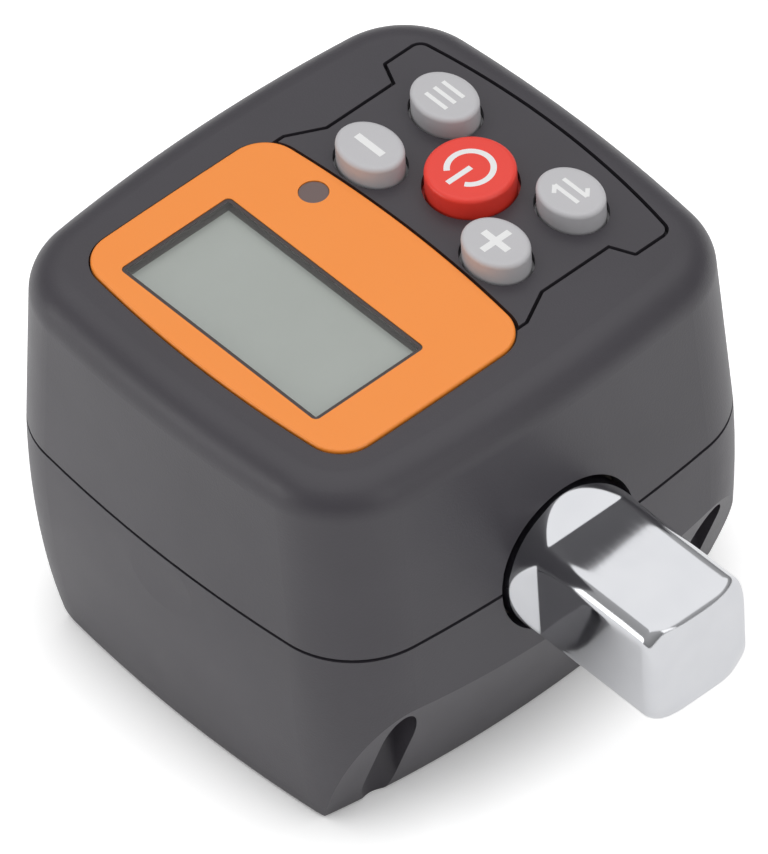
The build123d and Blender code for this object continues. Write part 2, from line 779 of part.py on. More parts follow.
detent_top = -flat_half + rim_thickness + detent_depth
detent_bottom = ball_z + ball_radius
with BuildPart() as detent_spring:
    detent_height = detent_top - detent_bottom - detent_wire
    with BuildLine(Plane((detent_x, 0, detent_bottom + detent_wire / 2))) as detent_coil:
        Helix(detent_height / detent_turns, detent_height, ball_radius - detent_wire)
    with BuildSketch(Plane(detent_coil.line @ 0, z_dir=detent_coil.line % 0)):
        Circle(detent_wire / 2)
    sweep(path=detent_coil.line)
detent_spring.part.label = "detent_spring"
export_step(detent_spring.part, "parts/detent_spring.step")

# Foil gauges on the two flats of the thin middle
gauge_mid = gauge_x + gauge_length / 2
with BuildPart() as strain_gauges:
    for side in (Plane((gauge_mid, 0, gauge_flat)), Plane((gauge_mid, 0, -gauge_flat)).rotated((180, 0, 0))):
        with BuildSketch(side):
            RectangleRounded(gauge_foil_length, gauge_foil_width, gauge_foil_width / 8)
        extrude(amount=gauge_foil_thickness)
strain_gauges.part.label = "strain_gauges"
export_step(strain_gauges.part, "parts/strain_gauges.step")

# Orange bezel, stepped to take the lens
with BuildPart() as display_bezel:
    with BuildSketch(middle.offset(seat_z)):
        with Locations((0, bezel_y)):
            add(bezel_section())
    extrude(amount=bezel_top - seat_z)
    fillet(display_bezel.faces().sort_by(Axis.Z)[-1].edges(), bezel_edge)
    with BuildSketch(middle.offset(lens_top - lens_thickness)):
        with Locations((window_x, window_y)):
            RectangleRounded(window_length, window_width, window_corner)
    extrude(amount=2 * lens_thickness, mode=Mode.SUBTRACT)
    with BuildSketch(middle.offset(seat_z)):
        with Locations((window_x, window_y)):
            Rectangle(window_length - 2 * lens_ledge, window_width - 2 * lens_ledge)
    extrude(amount=lens_thickness, mode=Mode.SUBTRACT)
    with BuildSketch(middle.offset(seat_z)):
        with Locations((lamp_x, lamp_y)):
            Circle(lamp_radius + lamp_clearance)
    extrude(amount=2 * seat_depth, mode=Mode.SUBTRACT)
display_bezel.part.label = "display_bezel"
export_step(display_bezel.part, "parts/display_bezel.step")

with BuildPart() as display_lens:
    with BuildSketch(middle.offset(lens_top - lens_thickness)):
        with Locations((window_x, window_y)):
            RectangleRounded(
                window_length - 2 * lens_clearance,
                window_width - 2 * lens_clearance,
                window_corner - lens_clearance,
            )
    extrude(amount=lens_thickness)
display_lens.part.label = "display_lens"
export_step(display_lens.part, "parts/display_lens.step")

# Display cell: two glass plates, the upper one overhanging along its contact edge
with BuildPart() as lcd_panel:
    with BuildSketch(middle.offset(lcd_top - lcd_glass)):
        with Locations((window_x, window_y)):
            Rectangle(lcd_length, lcd_width)
    extrude(amount=lcd_glass)
    with BuildSketch(middle.offset(lcd_seat_z)):
        with Locations((window_x, window_y - lcd_contact_ledge / 2)):
            Rectangle(lcd_length, lcd_width - lcd_contact_ledge)
    extrude(amount=lcd_glass)
lcd_panel.part.label = "lcd_panel"
export_step(lcd_panel.part, "parts/lcd_panel.step")

with BuildPart() as lcd_frame:
    with BuildSketch(middle.offset(board_top)):
        with Locations((window_x, window_y)):
            Rectangle(lcd_length + 2 * frame_wall, lcd_width + 2 * frame_wall)
            Rectangle(lcd_length - 2 * frame_ledge, lcd_width - 2 * frame_ledge, mode=Mode.SUBTRACT)
        with Locations((window_x, strip_y)):
            Rectangle(lcd_length - 2 * frame_ledge, lcd_contact_ledge, mode=Mode.SUBTRACT)
    extrude(amount=lcd_top - board_top)
    with BuildSketch(middle.offset(lcd_seat_z)):
        with Locations((window_x, window_y)):
            Rectangle(lcd_length + 2 * lcd_clearance, lcd_width + 2 * lcd_clearance)
    extrude(amount=2 * lcd_glass, mode=Mode.SUBTRACT)
lcd_frame.part.label = "lcd_frame"
export_step(lcd_frame.part, "parts/lcd_frame.step")

# Rubber strip that links the board to the overhanging edge of the upper glass
with BuildPart() as lcd_connector:
    with BuildSketch(middle.offset(board_top)):
        with Locations((window_x, strip_y)):
            Rectangle(lcd_length - 2 * frame_ledge - 2 * lcd_clearance, strip_width)
    extrude(amount=lcd_seat_z + lcd_glass - board_top)
lcd_connector.part.label = "lcd_connector"
export_step(lcd_connector.part, "parts/lcd_connector.step")

# Light pipe of the indicator lamp, held by its collar under the bezel
with BuildPart() as indicator_lens:
    with BuildSketch(middle.offset(ceiling_z)):
        with Locations((lamp_x, lamp_y)):
            Circle(lamp_radius)
    extrude(amount=bezel_top - lens_drop - ceiling_z)
    with BuildSketch(middle.offset(ceiling_z)):
        with Locations((lamp_x, lamp_y)):
            Circle(lamp_radius + lamp_collar)
    extrude(amount=seat_z - ceiling_z)
indicator_lens.part.label = "indicator_lens"
export_step(indicator_lens.part, "parts/indicator_lens.step")

with BuildPart() as indicator_led:
    with BuildSketch(middle.offset(board_top)):
        with Locations((lamp_x, lamp_y)):
            Rectangle(led_size, led_size)
    extrude(amount=led_base_height)
    with BuildSketch(middle.offset(board_top)):
        with Locations((lamp_x, lamp_y)):
            Circle(led_size / 2)
    extrude(amount=ceiling_z - led_clearance - board_top)
indicator_led.part.label = "indicator_led"
export_step(indicator_led.part, "parts/indicator_led.step")

# Key panel with a hole for each key
with BuildPart() as keypad_panel:
    with BuildSketch(middle.offset(seat_z)):
        add(panel_section())
        for key_x_place, key_y_place, half_length, half_width in keys.values():
            with Locations((key_x_place, key_y_place)):
                Ellipse(half_length + key_gap, half_width + key_gap, mode=Mode.SUBTRACT)
    extrude(amount=seat_depth)
keypad_panel.part.label = "keypad_panel"
export_step(keypad_panel.part, "parts/keypad_panel.step")

# Keys: cap, flange that stops under the panel, and stem down to the rubber dome
for key_name, (key_x_place, key_y_place, half_length, half_width) in keys.items():
    with BuildPart() as key:
        with BuildSketch(middle.offset(top_height - key_body_depth)):
            with Locations((key_x_place, key_y_place)):
                Ellipse(half_length, half_width)
        extrude(amount=key_stand + key_body_depth)
        fillet(key.faces().sort_by(Axis.Z)[-1].edges(), key_edge)
        with BuildSketch(middle.offset(seat_z - key_play)):
            with Locations((key_x_place, key_y_place)):
                Ellipse(half_length + key_flange, half_width + key_flange)
        extrude(amount=-key_flange_thickness)
        with BuildSketch(middle.offset(dome_top)):
            with Locations((key_x_place, key_y_place)):
                Circle(key_stem_radius)
        extrude(amount=top_height - dome_top)
    key.part.label = key_name
    export_step(key.part, f"parts/{key_name}.step")

with BuildPart() as key_mat:
    with BuildSketch(middle.offset(board_top)):
        with Locations((0, key_y)):
            RectangleRounded(
                2 * (key_x + dome_base_radius + mat_margin),
                2 * (key_pitch_y + dome_base_radius + mat_margin),
                dome_base_radius,
            )
    extrude(amount=mat_thickness)
    for key_x_place, key_y_place, half_length, half_width in keys.values():
        with Locations((centre_x + key_x_place, key_y_place, board_top + mat_thickness + dome_height / 2)):
            Cone(dome_base_radius, dome_top_radius, dome_height)
key_mat.part.label = "key_mat"
export_step(key_mat.part, "parts/key_mat.step")

# Main board, hung from four posts by screws driven from below
with BuildPart() as main_board:
    with BuildSketch(middle.offset(board_bottom)):
        RectangleRounded(board_length, board_width, board_corner)
        with GridLocations(2 * post_x, 2 * post_y, 2, 2):
            Circle(board_screw_radius + screw_clearance, mode=Mode.SUBTRACT)
    extrude(amount=board_thickness)
main_board.part.label = "main_board"
export_step(main_board.part, "parts/main_board.step")

with BuildPart() as board_screws:
    with BuildSketch(middle.offset(board_bottom)):
        with GridLocations(2 * post_x, 2 * post_y, 2, 2):
            Circle(board_screw_head)
    extrude(amount=-board_screw_head_height)
    with BuildSketch(middle.offset(board_bottom)):
        with GridLocations(2 * post_x, 2 * post_y, 2, 2):
            Circle(board_screw_radius)
    extrude(amount=board_screw_length)
    with BuildSketch(middle.offset(board_bottom - board_screw_head_height)):
        with GridLocations(2 * post_x, 2 * post_y, 2, 2):
            Rectangle(recess_length, recess_width)
            Rectangle(recess_width, recess_length)
    extrude(amount=recess_depth, mode=Mode.SUBTRACT)
board_screws.part.label = "board_screws"
export_step(board_screws.part, "parts/board_screws.step")

with BuildPart() as control_chip:
    with BuildSketch(middle.offset(board_bottom)):
        with Locations(control_chip_place):
            Rectangle(control_chip_size, control_chip_size)
    extrude(amount=-chip_thickness)
control_chip.part.label = "control_chip"
export_step(control_chip.part, "parts/control_chip.step")

with BuildPart() as gauge_amplifier:
    with BuildSketch(middle.offset(board_bottom)):
        with Locations(amplifier_place):
            Rectangle(amplifier_length, amplifier_width)
    extrude(amount=-chip_thickness)
gauge_amplifier.part.label = "gauge_amplifier"
export_step(gauge_amplifier.part, "parts/gauge_amplifier.step")

with BuildPart() as buzzer:
    with BuildSketch(middle.offset(board_bottom)):
        with Locations(buzzer_place):
            Circle(buzzer_radius)
    extrude(amount=-buzzer_height)
    with BuildSketch(middle.offset(board_bottom - buzzer_height)):
        with Locations(buzzer_place):
            Circle(buzzer_port)
    extrude(amount=buzzer_port, mode=Mode.SUBTRACT)
buzzer.part.label = "buzzer"
export_step(buzzer.part, "parts/buzzer.step")

# Leads from the upper gauge to the board
gauge_pad_z = gauge_flat + gauge_foil_thickness
with BuildPart() as gauge_leads:
    with BuildSketch(Plane((gauge_mid, 0, gauge_pad_z))):
        with GridLocations(gauge_foil_length / 2, gauge_foil_width / 2, 2, 2):
            Circle(lead_radius)
    extrude(amount=board_bottom - gauge_pad_z)
gauge_leads.part.label = "gauge_leads"
export_step(gauge_leads.part, "parts/gauge_leads.step")

# Screws that hold the shells together, driven from the base
with BuildPart() as housing_screws:
    with BuildSketch(middle.offset(-screw_seat)):
        with GridLocations(2 * screw_x, 2 * screw_y, 2, 2):
            Circle(screw_head_radius)
    extrude(amount=-screw_head_height)
    with BuildSketch(middle.offset(-screw_seat)):
        with GridLocations(2 * screw_x, 2 * screw_y, 2, 2):
            Circle(screw_radius)
    extrude(amount=screw_length)
    with BuildSketch(middle.offset(-screw_seat - screw_head_height)):
        with GridLocations(2 * screw_x, 2 * screw_y, 2, 2):
            Rectangle(recess_length, recess_width)
            Rectangle(recess_width, recess_length)
    extrude(amount=recess_depth, mode=Mode.SUBTRACT)
housing_screws.part.label = "housing_screws"
export_step(housing_screws.part, "parts/housing_screws.step")

# Two cells side by side, one turned about so that they are in series
cell_end = bay_length / 2 - contact_thickness
cells = {"left_cell": (-cell_spacing / 2, 1), "right_cell": (cell_spacing / 2, -1)}
for cell_name, (cell_x, facing) in cells.items():
    with BuildPart() as cell:
        with BuildSketch(Plane((centre_x + cell_x, facing * (cell_end - cell_nub_height), -cell_depth),
                               z_dir=(0, -facing, 0))):
            Circle(cell_radius)
        extrude(amount=cell_length - cell_nub_height)
        chamfer(cell.edges().filter_by(GeomType.CIRCLE), cell_nub_height / 3)
        with BuildSketch(Plane((centre_x + cell_x, facing * cell_end, -cell_depth), z_dir=(0, -facing, 0))):
            Circle(cell_nub_radius)
        extrude(amount=2 * cell_nub_height)
    cell.part.label = cell_name
    export_step(cell.part, f"parts/{cell_name}.step")

# Contacts: one plate joins the cells, the other two lead out through the bay's roof
spring_gap = 2 * cell_end - cell_length


def contact_plate(x, side, length):
    """A flat plate against one end wall of the cell bay."""
    wall_place = (centre_x + x, side * bay_length / 2, -cell_depth)
    with BuildPart() as plate:
        with BuildSketch(Plane(wall_place, x_dir=(1, 0, 0), z_dir=(0, -side, 0))):
            RectangleRounded(length, contact_height, contact_thickness)
        extrude(amount=contact_thickness)
    return plate.part


def contact_spring(x, side):
    """A conical coil that stands on a contact plate and presses on a cell."""
    foot = (centre_x + x, side * (cell_end - spring_wire / 4), -cell_depth)
    rise = spring_gap - spring_clearance - spring_wire
    cone = -degrees(atan((spring_wide - spring_narrow) / rise))
    with BuildPart() as spring:
        with BuildLine() as coil:
            Helix(rise / spring_turns, rise, spring_wide, foot, (0, -side, 0), cone)
        with BuildSketch(Plane(coil.line @ 0, z_dir=coil.line % 0)):
            Circle(spring_wire / 2)
        sweep(path=coil.line)
    return spring.part


def contact_tab(x):
    """A strip that rises from the top of a contact plate through the roof."""
    rise = tab_top_z + cell_depth
    with BuildPart() as tab:
        with Locations((centre_x + x, (bay_length - contact_thickness) / 2, tab_top_z - rise / 2)):
            Box(contact_tab_width, contact_thickness, rise)
    return tab.part


with BuildPart() as bridge_contact:
    add(contact_plate(0, -1, cell_spacing + contact_width))
    add(contact_spring(-cell_spacing / 2, -1))
bridge_contact.part.label = "bridge_contact"
export_step(bridge_contact.part, "parts/bridge_contact.step")

with BuildPart() as negative_contact:
    add(contact_plate(cell_spacing / 2, 1, contact_width))
    add(contact_spring(cell_spacing / 2, 1))
    add(contact_tab(cell_spacing / 2))
negative_contact.part.label = "negative_contact"
export_step(negative_contact.part, "parts/negative_contact.step")

with BuildPart() as positive_contact:
    add(contact_plate(-cell_spacing / 2, 1, contact_width))
    add(contact_tab(-cell_spacing / 2))
positive_contact.part.label = "positive_contact"
export_step(positive_contact.part, "parts/positive_contact.step")

with BuildPart() as battery_leads:
    with BuildSketch(middle.offset(tab_top_z)):
        with Locations((0, (bay_length - contact_thickness) / 2)):
            with GridLocations(cell_spacing, 1, 2, 1):
                Circle(lead_radius)
    extrude(amount=board_bottom - tab_top_z)
battery_leads.part.label = "battery_leads"
export_step(battery_leads.part, "parts/battery_leads.step")
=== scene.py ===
"""Digital torque adapter: materials, printed marks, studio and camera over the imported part.

Origin: centre of the female square's mouth. +X along the drive axis, +Y towards the
keys, +Z up through the display. Metres throughout.
"""
from math import cos, radians, sin, tau

import bmesh
import bpy
from mathutils import Matrix, Vector


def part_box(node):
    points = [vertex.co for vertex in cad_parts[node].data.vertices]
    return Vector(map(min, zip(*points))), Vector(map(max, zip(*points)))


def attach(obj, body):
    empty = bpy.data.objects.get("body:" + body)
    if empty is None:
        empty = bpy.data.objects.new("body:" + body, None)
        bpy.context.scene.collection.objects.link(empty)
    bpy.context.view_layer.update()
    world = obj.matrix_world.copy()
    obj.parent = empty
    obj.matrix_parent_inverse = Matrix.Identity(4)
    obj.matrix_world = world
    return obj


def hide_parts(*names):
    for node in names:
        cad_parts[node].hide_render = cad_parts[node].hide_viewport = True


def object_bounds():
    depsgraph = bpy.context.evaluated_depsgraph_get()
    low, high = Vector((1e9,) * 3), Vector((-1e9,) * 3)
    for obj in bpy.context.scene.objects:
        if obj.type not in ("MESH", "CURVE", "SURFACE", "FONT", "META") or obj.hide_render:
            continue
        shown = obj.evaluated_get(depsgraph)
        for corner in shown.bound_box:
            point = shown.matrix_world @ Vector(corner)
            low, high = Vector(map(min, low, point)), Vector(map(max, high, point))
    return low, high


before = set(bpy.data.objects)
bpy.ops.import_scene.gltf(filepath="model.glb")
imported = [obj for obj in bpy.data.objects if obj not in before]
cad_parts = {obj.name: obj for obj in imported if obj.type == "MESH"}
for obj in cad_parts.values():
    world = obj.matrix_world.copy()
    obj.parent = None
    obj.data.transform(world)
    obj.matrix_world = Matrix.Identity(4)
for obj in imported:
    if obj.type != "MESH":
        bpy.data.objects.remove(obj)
cad_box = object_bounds()
scene = bpy.context.scene
scene.view_settings.view_transform = "Standard"

# Camera: the photograph's own viewpoint, a long lens well back and above the corner
# between the near side and the drive end. Found by fitting the half inch square, the
# part line and the display to the photograph.
turn, lift, roll = radians(50.186), radians(45.878), radians(-3.052)
housing_middle = Vector((0.0282, 0, 0))
shift_right, shift_down = 0.000336, 0.00202
camera_distance = 2.01843
focal_pixels, picture_pixels = 20608.0, 768.0
back = Vector((sin(turn) * cos(lift), -cos(turn) * cos(lift), sin(lift)))
right = Vector((cos(turn), sin(turn), 0.0))
up = back.cross(right)
aim = housing_middle + shift_right * right - shift_down * up
eye = aim + camera_distance * back
lens = bpy.data.cameras.new("camera")
lens.sensor_fit = "HORIZONTAL"
lens.sensor_width = 36.0
lens.lens = focal_pixels * lens.sensor_width / picture_pixels
lens.clip_end = 20.0
camera = bpy.data.objects.new("camera", lens)
scene.collection.objects.link(camera)
level = right * cos(roll) + up * sin(roll)
upright = up * cos(roll) - right * sin(roll)
camera.matrix_world = Matrix.Translation(eye) @ Matrix((level, upright, back)).transposed().to_4x4()
scene.camera = camera

# Floor: a seamless sheet of matt white paper that the base stands on.
# It is plain white where nothing shades it and keeps the part's soft shadow. Near the base
# its glow is dimmed by ambient occlusion, a painted contact shadow that makes it darkest where the base meets
# it.
def linear(code):
    """Turns an sRGB hex colour into the linear colour that shaders take."""
    parts = [int(code[i:i + 2], 16) / 255 for i in (1, 3, 5)]
    return tuple(c / 12.92 if c <= 0.04045 else ((c + 0.055) / 1.055) ** 2.4 for c in parts) + (1.0,)


def add(tree, kind, sockets={}, **settings):
    """Adds one node: sockets are linked or given a value, settings go on the node."""
    node = tree.nodes.new(kind)
    for name, value in settings.items():
        setattr(node, name, value)
    for name, value in sockets.items():
        if isinstance(value, bpy.types.NodeSocket):
            tree.links.new(value, node.inputs[name])
        else:
            node.inputs[name].default_value = value
    return node


def math(tree, operation, first, second=0.0):
    """Adds one arithmetic node and returns its result."""
    return add(tree, "ShaderNodeMath", {0: first, 1: second}, operation=operation).outputs[0]


def start(name):
    """Begins a material: gives it, its emptied node tree and the object's coordinates."""
    material = bpy.data.materials.new(name)
    material.use_nodes = True
    material.node_tree.nodes.clear()
    return material, material.node_tree, add(material.node_tree, "ShaderNodeTexCoord").outputs["Object"]


def end(tree, shader):
    """Ends a material with the shader that covers its surface."""
    add(tree, "ShaderNodeOutputMaterial", {"Surface": shader.outputs[0]})


glow_strength = 0.6
mirrored_share = 0.58
contact_reach = 0.009
floor_half = 6.0
floor_gap = 0.00002
paper, tree, place = start("white_paper")
seen = add(tree, "ShaderNodeLightPath").outputs
mirrored = math(tree, "MULTIPLY", seen["Is Glossy Ray"], mirrored_share)
direct = math(tree, "MAXIMUM", math(tree, "MAXIMUM", seen["Is Camera Ray"], mirrored),
              seen["Is Transmission Ray"])
fibre = add(tree, "ShaderNodeTexNoise", {"Vector": place, "Scale": 900.0}).outputs["Fac"]
tone = add(tree, "ShaderNodeMix", {0: fibre, 6: linear("#f0f0f0"), 7: linear("#f4f4f4")}, data_type="RGBA")
sheet = add(tree, "ShaderNodeBsdfDiffuse", {"Color": tone.outputs[2]})
# Painted contact shadow: ambient occlusion dims the floor's glow close to the base.
painted_shadow_ao = add(tree, "ShaderNodeAmbientOcclusion", {"Distance": contact_reach}).outputs["AO"]
glow = math(tree, "MULTIPLY", math(tree, "MULTIPLY", direct, painted_shadow_ao), glow_strength)
shine = add(tree, "ShaderNodeEmission", {"Color": (1, 1, 1, 1), "Strength": glow})
end(tree, add(tree, "ShaderNodeAddShader", {0: sheet.outputs[0], 1: shine.outputs[0]}))
floor_z = cad_box[0][2] - floor_gap
corners = [(x * floor_half, y * floor_half, floor_z) for x, y in ((-1, -1), (1, -1), (1, 1), (-1, 1))]
floor_mesh = bpy.data.meshes.new("floor")
floor_mesh.from_pydata(corners, [], [(0, 1, 2, 3)])
floor_mesh.materials.append(paper)
floor = bpy.data.objects.new("floor", floor_mesh)
scene.collection.objects.link(floor)

# Studio light: a wide soft box overhead, a lower one on the camera's left for the near
# side, a narrow one at the drive end, and a room that grows brighter to its ceiling.
lit_point = Vector((0.035, 0, 0))


def soft_box(name, place, size, power):
    """A rectangular area lamp that faces the part."""
    lamp = bpy.data.lights.new(name, "AREA")
    lamp.shape = "RECTANGLE"
    lamp.size, lamp.size_y = size
    lamp.energy = power
    box = bpy.data.objects.new(name, lamp)
    scene.collection.objects.link(box)
    box.location = place
    box.rotation_euler = (lit_point - box.location).to_track_quat("-Z", "Y").to_euler()


soft_box("top_box", (-0.08, 0.1, 1.1), (1.8, 1.8), 7.4)
soft_box("left_box", (-0.6, -1.15, 0.3), (0.9, 0.5), 3.2)
soft_box("drive_box", (1.1, 0.15, 0.5), (0.5, 0.8), 1.6)
room = bpy.data.worlds.new("room")
scene.world = room
room.use_nodes = True
tree = room.node_tree
tree.nodes.clear()
facing = add(tree, "ShaderNodeTexCoord")
height = add(tree, "ShaderNodeSeparateXYZ", {"Vector": facing.outputs["Generated"]})
shade = add(tree, "ShaderNodeMapRange", {"Value": height.outputs["Z"], "From Min": 0.0, "From Max": 0.7,
                                         "To Min": 0.26, "To Max": 0.54})
sky = add(tree, "ShaderNodeBackground", {"Color": (1, 1, 1, 1), "Strength": shade.outputs[0]})
add(tree, "ShaderNodeOutputWorld", {"Surface": sky.outputs[0]})

# Housing shells and battery door: ABS moulded in spark eroded tools. The eroded grit
# gives an even matt grain that breaks the highlights along the rounded edges.
# Real grit is about 0.1 mm, drawn here at 0.22 mm so that it shows.
gloss_spread = 0.04


def colours(tree, share, first, second):
    """Blends two colours, each a hex code or a socket, by a share from 0 to 1."""
    ends = [end if isinstance(end, bpy.types.NodeSocket) else linear(end) for end in (first, second)]
    return add(tree, "ShaderNodeMix", {0: share, 6: ends[0], 7: ends[1]}, data_type="RGBA").outputs[2]


def skin(tree, place, colour, rough, grit, relief, metallic=0.0):
    """A surface with an even fine grain, whose gloss varies a little from place to place."""
    cloud = add(tree, "ShaderNodeTexNoise", {"Vector": place, "Scale": 140.0, "Detail": 3.0}).outputs["Fac"]
    gloss = add(tree, "ShaderNodeMapRange", {"Value": cloud, "To Min": rough - gloss_spread,
                                             "To Max": rough + gloss_spread})
    grain = add(tree, "ShaderNodeTexNoise", {"Vector": place, "Scale": 1 / grit, "Detail": 2.0}).outputs["Fac"]
    bump = add(tree, "ShaderNodeBump", {"Height": grain, "Strength": 0.6, "Distance": relief})
    return add(tree, "ShaderNodeBsdfPrincipled", {"Base Color": colour, "Roughness": gloss.outputs[0],
                                                  "Metallic": metallic, "IOR": 1.54,
                                                  "Normal": bump.outputs[0]})


def finish(name, dark, light, rough, grit, relief, metallic=0.0):
    """A whole material of one finish, clouded between two near colours."""
    material, tree, place = start(name)
    cloud = add(tree, "ShaderNodeTexNoise", {"Vector": place, "Scale": 90.0, "Detail": 3.0}).outputs["Fac"]
    end(tree, skin(tree, place, colours(tree, cloud, dark, light), rough, grit, relief, metallic))
    return material


def dress(material, *nodes):
    """Gives CAD nodes their finished material."""
    for name in nodes:
        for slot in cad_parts[name].material_slots:
            slot.material = material


dress(finish("spark_textured_abs", "#38353b", "#3f3c43", 0.42, 0.00022, 0.00003), "upper_housing",
      "lower_housing", "battery_door")

# Key panel: a separate dark moulding pressed into its seat in the top face.
# It comes from a like eroded tool, and is a shade darker than the shells.
dress(finish("key_panel_abs", "#3a373d", "#413e44", 0.48, 0.00022, 0.00002), "keypad_panel")

# Display bezel: orange ABS from a polished tool, a push fit in its seat. The walls of
# its window are painted dark grey, a painted shade for the inside of the deep window.
def within(tree, place, low, high):
    """1 where a point lies in a box and 0 outside it."""
    middle = [(a + b) / 2 for a, b in zip(low, high)]
    away = add(tree, "ShaderNodeVectorMath", {0: place, 1: middle}, operation="SUBTRACT")
    span = add(tree, "ShaderNodeVectorMath", {0: away.outputs[0]}, operation="ABSOLUTE")
    axes = add(tree, "ShaderNodeSeparateXYZ", {0: span.outputs[0]}).outputs
    hits = [math(tree, "LESS_THAN", axes[i], (high[i] - low[i]) / 2) for i in range(3)]
    return math(tree, "MINIMUM", math(tree, "MINIMUM", hits[0], hits[1]), hits[2])


pane_low, pane_high = [Vector(corner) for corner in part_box("display_lens")]
wall_reach = Vector((0.0001, 0.0001, 0))
wall_depth = Vector((0, 0, 0.002))
orange, tree, place = start("polished_orange_abs")
peel = add(tree, "ShaderNodeTexNoise", {"Vector": place, "Scale": 90.0, "Detail": 2.0}).outputs["Fac"]
# Painted shade: the window's walls are coloured dark grey in place of orange, standing for the shade inside
# the deep window.
painted = within(tree, place, pane_low - wall_reach - wall_depth, pane_high + wall_reach)
glaze_with_painted_wall_shade = colours(tree, painted, colours(tree, peel, "#ff9230", "#ff9638"), "#6d6a68")
end(tree, skin(tree, place, glaze_with_painted_wall_shade, 0.30, 0.0012, 0.00001))
dress(orange, "display_bezel")

# Display window: clear acrylic dropped into the bezel's step, with a thin dark border
# printed round its face that hides the step. It reflects only at a low angle.
border_width = 0.00038
ink_depth = 0.0001
past_faces = 0.001
acrylic, tree, place = start("printed_clear_acrylic")
inset = Vector((border_width, border_width, -past_faces))
under_print = within(tree, place, pane_low - Vector((1, 1, 1)), pane_high + Vector((1, 1, -ink_depth)))
bare = math(tree, "MAXIMUM", within(tree, place, pane_low + inset, pane_high - inset), under_print)
clear = add(tree, "ShaderNodeBsdfTransparent", {"Color": linear("#f4f5f4")})
glint = add(tree, "ShaderNodeBsdfGlossy", {"Roughness": 0.06})
angle = add(tree, "ShaderNodeFresnel", {"IOR": 1.49}).outputs[0]
leaving = add(tree, "ShaderNodeNewGeometry").outputs["Backfacing"]
mirrored = math(tree, "MULTIPLY", angle, math(tree, "SUBTRACT", 1.0, leaving))
pane = add(tree, "ShaderNodeMixShader", {0: mirrored, 1: clear.outputs[0], 2: glint.outputs[0]})
speck = add(tree, "ShaderNodeTexNoise", {"Vector": place, "Scale": 3000.0}).outputs["Fac"]
ink = add(tree, "ShaderNodeBsdfPrincipled", {"Base Color": colours(tree, speck, "#3a3132", "#473d3e"),
                                             "Roughness": 0.35})
end(tree, add(tree, "ShaderNodeMixShader", {0: bare, 1: ink.outputs[0], 2: pane.outputs[0]}))
dress(acrylic, "display_lens")

# Display: a liquid crystal cell, switched off, laid in its frame on the board. Its grey
# front film lies right under the window, with a faint green cast and a fine sparkle.
film_inset = 0.00052
film_thickness = 0.0002
film_gap = 0.00002


def build(name, shape, *materials):
    """Turns a drawn shape into an object of the scene."""
    mesh = bpy.data.meshes.new(name)
    shape.to_mesh(mesh)
    shape.free()
    for material in materials:
        mesh.materials.append(material)
    piece = bpy.data.objects.new(name, mesh)
    scene.collection.objects.link(piece)
    return piece


film_finish = finish("grey_polariser_film", "#c8cbc8", "#d0d3d1", 0.42, 0.0002, 0.000002)
dress(film_finish, "lcd_panel")
film_shape = bmesh.new()
film_size = pane_high - pane_low - Vector((2 * film_inset, 2 * film_inset, 0))
film_place = (pane_low + pane_high) / 2
film_place.z = pane_low.z - film_gap - film_thickness / 2
bmesh.ops.create_cube(film_shape, size=1.0, matrix=Matrix.Translation(film_place) @ Matrix.Diagonal(
    (film_size.x, film_size.y, film_thickness, 1)))
front_film = build("front_polariser", film_shape, film_finish)
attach(front_film, "adapter")

# Display frame and connector: a white moulded frame that holds the cell on the board,
# and the layered rubber strip that carries its signals. Both are clamped by the screws.
dress(finish("white_moulded_frame", "#d9d9d7", "#dfdfdd", 0.5, 0.0003, 0.00001), "lcd_frame")
dress(finish("layered_conductive_silicone", "#4e4f52", "#77787b", 0.7, 0.0002, 0.00002), "lcd_connector")

# Indicator: a smoked light pipe pushed up into the bezel, over a small lamp soldered
# to the board. Unlit it shows as a brown grey dot.
dress(finish("smoked_light_pipe", "#695654", "#715e5c", 0.32, 0.0006, 0.000006), "indicator_lens")
dress(finish("clear_epoxy_lamp", "#e2ded4", "#eae6dc", 0.25, 0.0006, 0.000004), "indicator_led")

# Keys: moulded ABS caps with fine grain, one red and four light grey. Each stands in
# its own hole in the panel and goes down on a silicone dome.
dress(finish("red_key_abs", "#f03c2e", "#f84234", 0.40, 0.0003, 0.000015), "power_button")
dress(finish("light_grey_key_abs", "#c2c1c4", "#cac9cc", 0.42, 0.0003, 0.000015), "mode_button", "unit_button",
      "minus_button", "plus_button")

# Marks on the keys: pad printed in white ink, a thin even film on the cap's top.
# They are plain signs: power, minus, plus, a list for the mode and a swap for the unit.
white_ink = finish("white_pad_ink", "#f0f0f0", "#f4f4f4", 0.45, 0.0003, 0.000004)
film_depth = 0.000008
film_step = 0.0000015


def print_mark(name, key, strokes):
    """Prints strokes on a key's top; each is a list of points in mm and a width."""
    low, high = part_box(key)
    middle = ((low[0] + high[0]) / 2, (low[1] + high[1]) / 2)
    shape = bmesh.new()
    for layer, (points, width) in enumerate(strokes):
        run = [Vector((x, y, 0)) for x, y in points]
        rows = []
        for i, point in enumerate(run):
            along = (run[min(i + 1, len(run) - 1)] - run[max(i - 1, 0)]).normalized()
            across = Vector((-along.y, along.x, 0)) * width / 2
            rows.append([shape.verts.new((middle[0] + p.x / 1000, middle[1] + p.y / 1000, high[2]))
                         for p in (point + across, point - across)])
        faces = [shape.faces.new((near[0], near[1], far[1], far[0])) for near, far in zip(rows, rows[1:])]
        film = bmesh.ops.extrude_face_region(shape, geom=faces)
        # Strokes that cross lie on each other like two passes of the pad
        bmesh.ops.translate(shape, vec=(0, 0, film_depth + film_step * layer),
                            verts=[part for part in film["geom"] if isinstance(part, bmesh.types.BMVert)])
    bmesh.ops.recalc_face_normals(shape, faces=shape.faces)
    mark = build(name, shape, white_ink)
    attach(mark, key)


